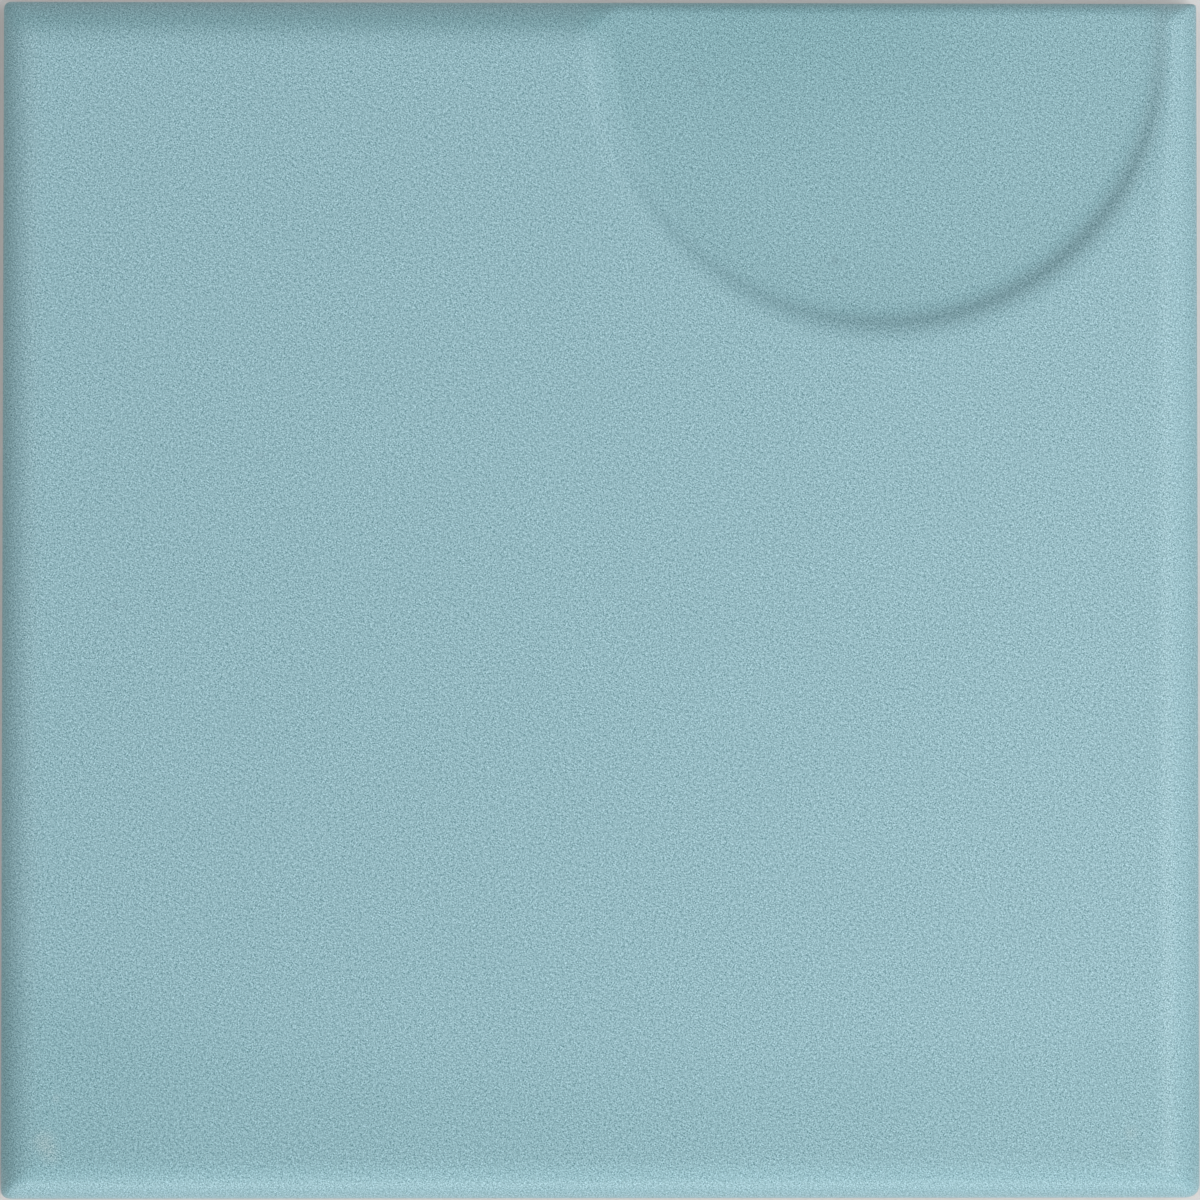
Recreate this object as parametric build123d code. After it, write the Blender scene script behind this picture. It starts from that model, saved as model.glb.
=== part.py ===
from build123d import *
import math
import os

# A square glazed wall tile, pressed and fired as one piece. Its face has cushioned edges and one
# shallow half-round recess, which sits against one side and runs out through the edge above it.
# Its back is keyed with a grid of shallow pockets for the adhesive.
#
# Lengths are in millimetres and angles in degrees. The origin is at the middle of the back, +Z
# points out through the glazed face, and +Y points to the edge that the recess runs out through.

# Body of the tile
TILE_SIDE = 150.0
TILE_THICKNESS = 9.0
EDGE_ROUND = 5.4            # quarter-round along the four edges of the face
CORNER_ROUND = 1.2          # upright corners, seen from the front
BACK_ARRIS = 0.5            # chamfer around the back

# Recess in the face
RECESS_RADIUS = 35.1        # from its axis to the steepest line of its wall
RECESS_DEPTH = 2.1
RECESS_FOOT_ROUND = 3.2     # hollow arc where the floor turns up into the wall
RECESS_LIP_ROUND = 3.9      # swelling arc where the wall turns over into the face
MOUTH_ROUND = 1.8           # where the floor turns down over the edge
MOUTH_CLEARANCE = 0.02      # how far the end of that round stands off the edge round

# Keyed back
KEY_ROWS = 6                # pockets along each side; an even number leaves ribs through the middle
KEY_RIM = 6.0               # plain border around the pockets
KEY_RIB = 4.0               # between two pockets
KEY_DEPTH = 0.8
KEY_CORNER = 2.0            # rounded corners of a pocket, at the back face
KEY_DRAFT = 20.0            # lean of a pocket's sides

# Places and sizes that follow from the values above
HALF_SIDE = TILE_SIDE / 2
FLAT_EDGE = HALF_SIDE - EDGE_ROUND              # where the flat of the face ends
RECESS_FLOOR = TILE_THICKNESS - RECESS_DEPTH
RECESS_AXIS_X = RECESS_RADIUS                   # the wall touches the tile's middle line
RECESS_AXIS_Y = FLAT_EDGE
TOOL_TOP = TILE_THICKNESS + EDGE_ROUND          # anywhere clear of the face
KEY_PITCH = (TILE_SIDE - 2 * KEY_RIM + KEY_RIB) / KEY_ROWS
KEY_WIDTH = KEY_PITCH - KEY_RIB


def cushioned_blank():
    """The plain tile: a square slab with rounded corners, cushioned face edges and an eased back."""
    slab = Box(TILE_SIDE, TILE_SIDE, TILE_THICKNESS, align=(Align.CENTER, Align.CENTER, Align.MIN))
    slab = fillet(slab.edges().filter_by(Axis.Z), CORNER_ROUND)
    slab = fillet(slab.faces().sort_by(Axis.Z)[-1].edges(), EDGE_ROUND)
    return chamfer(slab.faces().sort_by(Axis.Z)[0].edges(), BACK_ARRIS)


def recess_section():
    """Half of the recess's section in the XZ plane, from its axis out to the lip.

    The wall is a hollow foot arc and a swelling lip arc, tangent to each other at the recess's
    radius. The foot arc is tangent to the floor and the lip arc is tangent to the face.
    """
    steepest = math.acos(1 - RECESS_DEPTH / (RECESS_FOOT_ROUND + RECESS_LIP_ROUND))
    foot_radius = RECESS_RADIUS - RECESS_FOOT_ROUND * math.sin(steepest)
    lip_radius = RECESS_RADIUS + RECESS_LIP_ROUND * math.sin(steepest)
    steepest_height = RECESS_FLOOR + RECESS_FOOT_ROUND * (1 - math.cos(steepest))
    with BuildSketch(Plane.XZ) as section:
        with BuildLine():
            floor = Line((0, RECESS_FLOOR), (foot_radius, RECESS_FLOOR))
            foot_arc = TangentArc(floor @ 1, (RECESS_RADIUS, steepest_height), tangent=floor % 1)
            lip_arc = TangentArc(foot_arc @ 1, (lip_radius, TILE_THICKNESS), tangent=foot_arc % 1)
            Polyline(lip_arc @ 1, (lip_radius, TOOL_TOP), (0, TOOL_TOP), floor @ 0)
        make_face()
    return section.sketch


def recess_tool():
    """The body that the recess is cut with, its axis along Z through the origin.

    The section is spun about the recess's axis, carried straight to the mouth, and then turned
    down over the edge. The turn's floor is a round that ends just clear of the edge round, on
    the line through the centres of the two rounds.
    """
    half_section = recess_section()
    section = half_section + mirror(half_section, Plane.YZ)
    centres_apart = EDGE_ROUND - MOUTH_ROUND + MOUTH_CLEARANCE
    centres_rise = EDGE_ROUND - RECESS_DEPTH - MOUTH_ROUND
    centres_run = math.sqrt(centres_apart ** 2 - centres_rise ** 2)
    turn_axis = Axis((0, centres_run, RECESS_FLOOR - MOUTH_ROUND), (-1, 0, 0))
    bowl = revolve(half_section, Axis.Z, 360)
    run = extrude(section, amount=centres_run, dir=(0, 1, 0))
    turn = revolve(Pos(0, centres_run, 0) * section, turn_axis,
                   math.degrees(math.atan2(centres_run, centres_rise)))
    return bowl + run + turn


def back_keys():
    """The pockets of the keyed back, each a rounded square that narrows into the tile."""
    pocket = extrude(RectangleRounded(KEY_WIDTH, KEY_WIDTH, KEY_CORNER), KEY_DEPTH, taper=KEY_DRAFT)
    return [place * pocket for place in GridLocations(KEY_PITCH, KEY_PITCH, KEY_ROWS, KEY_ROWS)]


tile = cushioned_blank()
tile -= Pos(RECESS_AXIS_X, RECESS_AXIS_Y, 0) * recess_tool()
tile -= back_keys()

os.makedirs("parts", exist_ok=True)
export_step(tile, "parts/tile.step")
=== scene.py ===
"""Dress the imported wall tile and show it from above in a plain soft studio.

One closed mesh stands for the fired tile: the glazed face with its cushioned edges and half-round
recess, the sides with the lower edge of the glaze, and the keyed back. Lengths are in metres, in
the tile's own frame: the origin is at the middle of the back, +Z points out of the glazed face and
+Y points to the edge that the recess runs out through.
"""
from __future__ import annotations

import logging
import math
from dataclasses import dataclass, field
from enum import Enum, IntEnum
from typing import Union

import bpy
import numpy as np
from mathutils import Matrix, Vector

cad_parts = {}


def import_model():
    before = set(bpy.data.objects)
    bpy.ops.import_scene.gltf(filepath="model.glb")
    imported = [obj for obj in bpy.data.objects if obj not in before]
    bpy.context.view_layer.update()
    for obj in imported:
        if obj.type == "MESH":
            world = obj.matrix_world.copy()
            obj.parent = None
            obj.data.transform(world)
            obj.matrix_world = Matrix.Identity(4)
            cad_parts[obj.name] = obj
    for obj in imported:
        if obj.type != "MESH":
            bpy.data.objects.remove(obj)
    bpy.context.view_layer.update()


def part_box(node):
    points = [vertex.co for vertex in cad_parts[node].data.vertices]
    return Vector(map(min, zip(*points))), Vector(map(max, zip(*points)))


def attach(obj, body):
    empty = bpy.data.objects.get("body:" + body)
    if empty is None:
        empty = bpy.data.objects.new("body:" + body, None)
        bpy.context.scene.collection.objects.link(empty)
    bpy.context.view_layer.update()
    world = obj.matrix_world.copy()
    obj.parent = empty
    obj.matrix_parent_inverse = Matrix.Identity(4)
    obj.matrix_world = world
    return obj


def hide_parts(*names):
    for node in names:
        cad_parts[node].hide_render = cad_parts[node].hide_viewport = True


MM = 0.001
WELD_GRID = 1e-7
SQUARE_SIDES = 4.0
LOG = logging.getLogger("tile")

Span = tuple[float, float]
Colour = tuple[float, float, float]
Socket = bpy.types.NodeSocket
Feed = Union[Socket, float, Colour]


class Zone(IntEnum):
    """The two surfaces of the tile, as indexes of its material slots."""

    GLAZE = 0
    BISCUIT = 1


class Column(IntEnum):
    """Columns of a table of points, in which each row is a vertex."""

    X = 0
    Y = 1
    Z = 2
    # share of painted shade and of the darker recess floor
    DARKENING = 3
    STEEP = 4
    PLAN_X = 5
    PLAN_Y = 6


class Attribute(Enum):
    """Names of what the mesh tells the finishes about each vertex."""

    # share of painted shade and of the darker recess floor at each vertex
    SHADE_AND_FLOOR_DARKENING = "shade_and_floor_darkening"
    STEEP_EDGE = "steep_edge"
    GLAZE_PLAN = "glaze_plan"


class GroupSocket(Enum):
    """Names of the sockets of the node groups."""

    VECTOR = "Vector"
    GRAIN_SIZE = "Grain Size"
    RELIEF_SIZE = "Relief Size"
    MOTTLE_SIZE = "Mottle Size"
    GRAIN = "Grain"
    RELIEF = "Relief"
    MOTTLE = "Mottle"
    CENTRE = "Centre"
    REACH = "Reach"
    STRENGTH = "Strength"
    MASK = "Mask"


@dataclass(frozen=True)
class Patch:
    """A stretch of surface before it is joined to the others.

    Args:
        points: one row for each vertex: its place, its share of painted shade and darker recess floor, its
            share of a steep
        edge and its place on the plan of the glaze, in the order of the columns.
        quads: four vertex indexes for each face.
        triangles: three vertex indexes for each face.
        zone: the surface that all its faces belong to.
    """

    points: np.ndarray
    quads: np.ndarray
    triangles: np.ndarray
    zone: Zone


def smooth_step(value: np.ndarray, low: float, high: float) -> np.ndarray:
    """Rise from 0 at low to 1 at high as 3t^2 - 2t^3.

    Args:
        value: where the step is taken.
        low: value at which the rise starts.
        high: value at which the rise ends.

    Returns:
        The step, as an array of the same shape.
    """
    share = np.clip((value - low) / (high - low), 0.0, 1.0)
    return share * share * (3.0 - 2.0 * share)


def rounded_minimum(first: np.ndarray, second: np.ndarray, reach: np.ndarray) -> np.ndarray:
    """The lower of two heights, with the crease between them rounded.

    Where the two differ by less than reach, the lower one sinks by a quarter of reach times the
    square of the share of reach that is left.

    Args:
        first: one height.
        second: the other height.
        reach: difference of height at which the rounding starts.

    Returns:
        The rounded lower height.
    """
    safe_reach = np.maximum(reach, WELD_GRID)
    share = np.clip(1.0 - np.abs(first - second) / safe_reach, 0.0, 1.0)
    return np.minimum(first, second) - share * share * safe_reach / 4.0


def grid_quads(rows: int, columns: int) -> np.ndarray:
    """Faces of a grid of points stored row by row.

    They face +Z where rows run along X and columns along Y.

    Args:
        rows: points along the first parameter.
        columns: points along the second parameter.

    Returns:
        Four indexes for each face.
    """
    index = np.arange(rows * columns).reshape(rows, columns)
    corners = (index[:-1, :-1], index[1:, :-1], index[1:, 1:], index[:-1, 1:])
    return np.stack(corners, axis=-1).reshape(-1, 4)


def ring_quads(rings: int, count: int) -> np.ndarray:
    """Faces between closed rings that run anticlockwise seen from above, facing away from the first.

    Args:
        rings: number of rings, each stored after the last.
        count: points on each ring.

    Returns:
        Four indexes for each face.
    """
    index = np.arange(rings * count).reshape(rings, count)
    after = np.roll(index, -1, axis=1)
    corners = (index[:-1], index[1:], after[1:], after[:-1])
    return np.stack(corners, axis=-1).reshape(-1, 4)


def zip_triangles(outer_places: np.ndarray, inner_places: np.ndarray) -> np.ndarray:
    """Triangles that close the strip between two rings with different numbers of points.

    Each step along one ring makes a triangle with the point that the other ring has reached by
    the middle of that step. The outer ring's points come first in the indexes.

    Args:
        outer_places: rising places of the outer ring's points, in sides of the square, 0 to 4.
        inner_places: the same for the inner ring.

    Returns:
        Three indexes for each triangle, facing -Z.
    """
    outer_count = len(outer_places)
    inner_count = len(inner_places)
    outer_step = np.arange(outer_count)
    inner_step = np.arange(inner_count)
    outer_middle = (outer_places + np.append(outer_places[1:], outer_places[0] + SQUARE_SIDES)) / 2.0
    inner_middle = (inner_places + np.append(inner_places[1:], inner_places[0] + SQUARE_SIDES)) / 2.0
    inner_reached = np.searchsorted(inner_middle, outer_middle) % inner_count
    outer_reached = np.searchsorted(outer_middle, inner_middle) % outer_count
    along_outer = (outer_step, outer_count + inner_reached, (outer_step + 1) % outer_count)
    along_inner = (outer_count + inner_step, outer_count + (inner_step + 1) % inner_count, outer_reached)
    return np.concatenate([np.stack(along_outer, axis=-1), np.stack(along_inner, axis=-1)])


@dataclass(frozen=True)
class Recess:
    """The half-round recess: a flat floor inside a double-curved wall.

    Seen from the front it is a half disc that runs straight out through the top edge. In section
    its wall is a hollow foot arc and a swelling lip arc, tangent to each other at the radius.

    Args:
        axis_x: place of the axis across the tile.
        axis_y: place of the axis up the tile, where the straight part begins.
        edge_y: place of the tile's top edge.
        face: height of the flat of the face.
        radius: from the axis to the steepest line of the wall.
        depth: how deep the floor lies at the bottom of the half-round.
        depth_mouth: how deep it lies level with the axis.
        rise_end: where its rise ends, in radii above the bottom.
        foot_round: radius of the foot arc.
        lip_round: radius of the lip arc.
        lip_ease: width over which the lip runs out into the face.
        flare: how far the upper end of the left wall leans out.
        flare_reach: how far below the axis the flare begins.
        foot_shade_radius: where the painted shade at the foot of the wall is darkest.
        foot_shade_width: width of that shade.
        foot_shade_bottom: its depth at the bottom.
        foot_shade_left: its depth at the left end.
        foot_shade_turns: directions in degrees at which its depth starts and stops changing.
    """

    axis_x: float
    axis_y: float
    edge_y: float
    face: float
    radius: float = 35.1 * MM
    depth: float = 2.1 * MM
    depth_mouth: float = 1.6 * MM
    rise_end: float = 1.2
    foot_round: float = 3.2 * MM
    lip_round: float = 3.9 * MM
    lip_ease: float = 0.45 * MM
    flare: float = 1.6 * MM
    flare_reach: float = 3.0 * MM
    foot_shade_radius: float = 34.4 * MM
    foot_shade_width: float = 1.4 * MM
    foot_shade_bottom: float = 0.15
    foot_shade_left: float = 0.4
    foot_shade_turns: tuple[float, ...] = (0.0, 35.0, 95.0, 115.0, 155.0, 172.0)

    @property
    def steepest(self) -> float:
        """Slope of the wall where the two arcs meet, in radians."""
        return math.acos(1.0 - self.depth / (self.foot_round + self.lip_round))

    @property
    def foot_radius(self) -> float:
        """Distance from the axis at which the floor ends."""
        return self.radius - self.foot_round * math.sin(self.steepest)

    @property
    def lip_radius(self) -> float:
        """Distance from the axis at which the wall reaches the face."""
        return self.radius + self.lip_round * math.sin(self.steepest)

    def distance(self, x: np.ndarray, y: np.ndarray) -> np.ndarray:
        """Distance from the recess's axis, or from its middle line above the axis.

        On the left it is lessened by a flare, which grows from just below the axis to the edge.

        Args:
            x: place across the tile.
            y: place up the tile.

        Returns:
            Distances, one for each place.
        """
        away = np.hypot(x - self.axis_x, np.minimum(y - self.axis_y, 0.0))
        flare = self.flare * smooth_step(y, self.axis_y - self.flare_reach, self.edge_y)
        return np.where(x < self.axis_x, away - flare, away)

    def direction(self, x: np.ndarray, y: np.ndarray) -> np.ndarray:
        """Angle about the axis in radians, from 0 at the right through the bottom to the left."""
        return np.arctan2(np.maximum(self.axis_y - y, 0.0), x - self.axis_x)

    def height(self, x: np.ndarray, y: np.ndarray) -> np.ndarray:
        """Height of the recess's surface, which is that of the face outside the lip.

        The foot arc rises from the floor as R - sqrt(R^2 - t^2) with the distance t past the end
        of the floor, and the lip arc falls from the face in the same way with the distance t short
        of the lip, which is eased to w ln(1 + exp(t / w)) with the width w of the ease. The floor
        rises evenly from its lowest end past the mouth, so the wall is lower and gentler there.

        Args:
            x: place across the tile.
            y: place up the tile.

        Returns:
            Height above the back.
        """
        away = self.distance(x, y)
        up = np.clip((y - self.axis_y) / self.radius + 1.0, 0.0, self.rise_end)
        depth = self.depth - (self.depth - self.depth_mouth) * up
        steepest = np.sin(np.arccos(1.0 - depth / (self.foot_round + self.lip_round)))
        foot_width = self.foot_round * steepest
        lip_width = self.lip_round * steepest
        past_foot = np.clip(away - self.radius + foot_width, 0.0, foot_width)
        short_of_lip = self.lip_ease * np.logaddexp(0.0, (self.radius + lip_width - away) / self.lip_ease)
        short_of_lip = np.minimum(short_of_lip, lip_width)
        foot = self.face - depth + self.foot_round - np.sqrt(self.foot_round ** 2 - past_foot ** 2)
        lip = self.face - self.lip_round + np.sqrt(self.lip_round ** 2 - short_of_lip ** 2)
        return np.where(away < self.radius, foot, lip)

    def foot_shade(self, x: np.ndarray, y: np.ndarray) -> np.ndarray:
        """Painted shade at the foot of the wall.

        It is a bell across the foot. The amount rises from the right end of the wall to the bottom,
        falls to nothing at the lower left and rises again at the left end.

        Args:
            x: place across the tile.
            y: place up the tile.

        Returns:
            Depths, one for each place.
        """
        across = (self.distance(x, y) - self.foot_shade_radius) / self.foot_shade_width
        turn = np.degrees(self.direction(x, y))
        rise_from, rise_to, fall_from, fall_to, left_from, left_to = self.foot_shade_turns
        bottom = smooth_step(turn, rise_from, rise_to) - smooth_step(turn, fall_from, fall_to)
        left = smooth_step(turn, left_from, left_to)
        return (self.foot_shade_bottom * bottom + self.foot_shade_left * left) * np.exp(-across ** 2)

    def inside(self, x: np.ndarray, y: np.ndarray) -> np.ndarray:
        """How far a point is in the recess: 1 up to its steepest line and 0 well past its lip."""
        return 1.0 - smooth_step(self.distance(x, y), self.radius, 2.0 * self.lip_radius - self.radius)

    def floor_share(self, x: np.ndarray, y: np.ndarray) -> np.ndarray:
        """How far a point is on the floor: 1 inside the wall's foot and 0 from its steepest line."""
        return 1.0 - smooth_step(self.distance(x, y), self.foot_radius, self.radius)


@dataclass(frozen=True)
class GlazeEdge:
    """The lower edge of the glaze around the sides: a wavy line with a small rounded step.

    Args:
        height: mean height of the line above the back.
        step: how far the glaze stands out from the bare side.
        bead: height over which it is rounded off.
        profile: that rounding, as shares of the step inwards and of the bead above the line.
        waves: whole turns around the tile, size and start of each wave of the line.
    """

    height: float = 1.7 * MM
    step: float = 0.12 * MM
    bead: float = 0.24 * MM
    profile: tuple[Span, ...] = ((0.0, 2.0), (0.1, 1.0), (0.4, 0.3), (1.0, 0.0))
    waves: tuple[tuple[int, float, float], ...] = (
        (3, 0.16 * MM, 0.4),
        (11, 0.13 * MM, 2.1),
        (26, 0.08 * MM, 4.0),
        (57, 0.05 * MM, 1.3),
    )

    def line(self, places: np.ndarray) -> np.ndarray:
        """Height of the glaze's edge above the back, as a sum of whole waves around the tile.

        Args:
            places: places around the tile, in sides, 0 to 4.

        Returns:
            Heights, one for each place.
        """
        turn = places * (math.pi / 2.0)
        counts, sizes, starts = np.array(self.waves).T
        waves = sizes[:, None] * np.sin(counts[:, None] * turn + starts[:, None])
        return self.height + waves.sum(axis=0)


@dataclass(frozen=True)
class KeyedBack:
    """The grid of shallow pockets that keys the tile to its adhesive.

    Args:
        rows: pockets along each side of the tile.
        rim: plain border around the pockets.
        rib: width between two pockets.
        depth: depth of a pocket.
        corner: radius of a pocket's corners.
        draft: lean of a pocket's sides, in radians.
        ease: size of the narrow faces that end those sides above and below.
        mouth_profile: the faces at the mouth, as shares of the ease outwards and into the pocket.
        foot_profile: the faces at the foot, as shares of the ease inwards and short of the floor.
        floor_share: size of a ring on the floor, as a share of the floor.
        along: places of the points along half of a side.
    """

    rows: int = 6
    rim: float = 6.0 * MM
    rib: float = 4.0 * MM
    depth: float = 0.8 * MM
    corner: float = 2.0 * MM
    draft: float = math.radians(20.0)
    ease: float = 0.12 * MM
    mouth_profile: tuple[Span, ...] = ((1.0, 0.0), (0.0, 0.3))
    foot_profile: tuple[Span, ...] = ((0.4, 0.3), (1.4, 0.0))
    floor_share: float = 0.5
    along: tuple[float, ...] = (0.0, 0.45, 0.796, 0.9, 1.0)

    def pitch(self, side: float) -> float:
        """Distance between the middles of two pockets on a tile of the given side."""
        return (side - 2.0 * self.rim + self.rib) / self.rows

    def side_places(self) -> np.ndarray:
        """Places of the points along one side of a pocket's cell, from -1 to 1."""
        half = np.array(self.along)
        return np.concatenate([-half[:0:-1], half])

    def cell_ring(self) -> np.ndarray:
        """Points around a square of half-side 1.

        Returns:
            Points, anticlockwise from the lower left corner.
        """
        along = self.side_places()[:-1]
        edge = np.ones_like(along)
        x = np.concatenate([along, edge, -along, -edge])
        y = np.concatenate([-edge, along, edge, -along])
        return np.stack([x, y], axis=-1)

    def rounded_ring(self, half: float, corner: float) -> np.ndarray:
        """A rounded square.

        Each point is a corner radius away from the square that the centres of the arcs lie on.

        Args:
            half: half of the width.
            corner: radius of the corners.

        Returns:
            Points around it, anticlockwise.
        """
        square = self.cell_ring() * half
        core = np.clip(square, corner - half, half - corner)
        away = square - core
        return core + corner * away / np.linalg.norm(away, axis=-1, keepdims=True)

    def cell(self, side: float) -> np.ndarray:
        """One pocket with the rib around it, as rings from the edge of its cell in to its middle.

        The leaning sides run from the faces at the mouth to those at the foot.

        Args:
            side: side of the tile.

        Returns:
            Points in an array of rings by places around by x, y, z.
        """
        half_cell = self.pitch(side) / 2.0
        half = half_cell - self.rib / 2.0
        lean = math.tan(self.draft)
        foot = lean * self.depth
        sections = [(self.ease * out, self.ease * rise) for out, rise in self.mouth_profile]
        sections += [(-lean * self.ease, self.ease), (-foot, self.depth - self.ease)]
        for inwards, short in self.foot_profile:
            sections.append((-foot - self.ease * inwards, self.depth - self.ease * short))
        rings = [self.rounded_ring(half + out, self.corner + out) for out, _ in sections]
        heights = [rise for _, rise in sections]
        inner = rings[-1] * self.floor_share
        plan = np.stack([self.cell_ring() * half_cell, *rings, inner, inner * 0.0])
        rise = np.array([0.0, *heights, self.depth, self.depth])
        return np.concatenate([plan, np.broadcast_to(rise[:, None, None], (*plan.shape[:2], 1))], axis=-1)


@dataclass(frozen=True)
class PaintedShadeAndDarkerRecessFloor:
    """Painted shade along the top and left edges, above the bottom edge and at the lower left corner, and a
    darker recess floor, as shares of the darker colour.

    Args:
        half: half of the tile's side.
        recess: the recess in the face.
        side_fade: distances in from the left and right edges between which their painted shade fades.
        floor: how much darker the recess's floor is.
        mouth: darkening that a bell-shaped patch at its mouth adds.
        mouth_x: place of that patch across the tile.
        mouth_width: its width.
        mouth_reach: how far it reaches down from the top edge.
        top: depth of the painted shade along the top edge.
        top_fade: distances in from that edge between which it fades.
        top_line: depth of the painted dark line in that shade.
        top_line_inset: distance of the line from the edge.
        top_line_width: width of the line.
        left: depth of the painted shade on the left edge.
        right: depth of the painted shade on the right edge.
        low: depth of the painted shade above the bottom edge, and of that at the lower left corner.
        low_line: the upper end of that band, as the three numbers of its curve.
        low_fade: distance on each side of that line over which the band fades.
        corner_reach: width of the painted shade at the corner.
        bottom_fade: distances in from the bottom edge between which the band sets in.
    """

    half: float
    recess: Recess
    side_fade: Span
    floor: float = 0.44
    mouth: float = 0.62
    mouth_x: float = 25.0 * MM
    mouth_width: float = 25.0 * MM
    mouth_reach: float = 14.0 * MM
    top: float = 0.4
    top_fade: Span = (2.0 * MM, 6.5 * MM)
    top_line: float = 0.4
    top_line_inset: float = 3.1 * MM
    top_line_width: float = 1.1 * MM
    left: float = 0.8
    right: float = 0.1
    low: float = 0.28
    low_line: tuple[float, float, float] = (-0.795, 0.125, -0.055)
    low_fade: float = 6.0 * MM
    corner_reach: float = 24.0 * MM
    bottom_fade: Span = (0.8 * MM, 3.2 * MM)

    def on_floor(self, x: np.ndarray, y: np.ndarray) -> np.ndarray:
        """How much darker the recess's floor is, most of all in a bell-shaped patch at the mouth.

        Args:
            x: place across the tile.
            y: place up the tile.

        Returns:
            Depths, one for each place.
        """
        across = (x - self.mouth_x) / self.mouth_width
        below = (self.half - y) / self.mouth_reach
        darker_floor = self.floor + self.mouth * np.exp(-across ** 2 - below ** 2)
        return self.recess.floor_share(x, y) * darker_floor

    def along_top(self, x: np.ndarray, y: np.ndarray) -> np.ndarray:
        """Painted shade along the top edge as far as the recess: a fading band with a bell-shaped dark line
        in it.

        Args:
            x: place across the tile.
            y: place up the tile.

        Returns:
            Depths, one for each place.
        """
        below = self.half - y
        line = np.exp(-((below - self.top_line_inset) / self.top_line_width) ** 2)
        run = self.top * (1.0 - smooth_step(below, *self.top_fade)) + self.top_line * line
        return np.where(x > self.recess.axis_x, 0.0, run)

    def along_sides(self, x: np.ndarray) -> np.ndarray:
        """Painted shade on the steep part of the left edge, and a little on that of the right edge."""
        run = 1.0 - smooth_step(self.half - np.abs(x), *self.side_fade)
        return run * np.where(x > 0.0, self.right, self.left)

    def at_bottom(self, x: np.ndarray, y: np.ndarray) -> np.ndarray:
        """Painted shade above the bottom edge, standing for a weaker sheen there, and about the lower left
        corner.

        The band ends upwards at a line that hangs in a shallow curve between the two sides and
        climbs more at the left: a + b t^2 + c t^3 half-sides at t half-sides across. It fades out
        over the bottom edge. The corner has a bell-shaped patch of painted shade.

        Args:
            x: place across the tile.
            y: place up the tile.

        Returns:
            Depths, one for each place.
        """
        across = x / self.half
        level, curve, climb = self.low_line
        line = self.half * (level + curve * across ** 2 + climb * across ** 3)
        run = 1.0 - smooth_step(y, line - self.low_fade, line + self.low_fade)
        away = (x + self.half) ** 2 + (y + self.half) ** 2
        corner = np.exp(-away / self.corner_reach ** 2)
        return self.low * (run + corner) * smooth_step(y + self.half, *self.bottom_fade)

    def depth(self, x: np.ndarray, y: np.ndarray) -> np.ndarray:
        """How much darker the glaze is painted, from 0 to 1, for painted shade and the darker recess floor.

        The greatest of the floor's, the top's and the sides' depths is added to those above the
        bottom edge and at the foot of the recess's wall.

        Args:
            x: place across the tile.
            y: place up the tile.

        Returns:
            Depths, one for each place.
        """
        # painted shade on the edges, above the bottom edge and at the foot of the recess wall, with the
        # darker recess floor
        edges = np.maximum(self.along_top(x, y), self.along_sides(x))
        runs = np.maximum(self.on_floor(x, y), edges)
        return np.clip(self.at_bottom(x, y) + self.recess.foot_shade(x, y) + runs, 0.0, 1.0)


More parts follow.
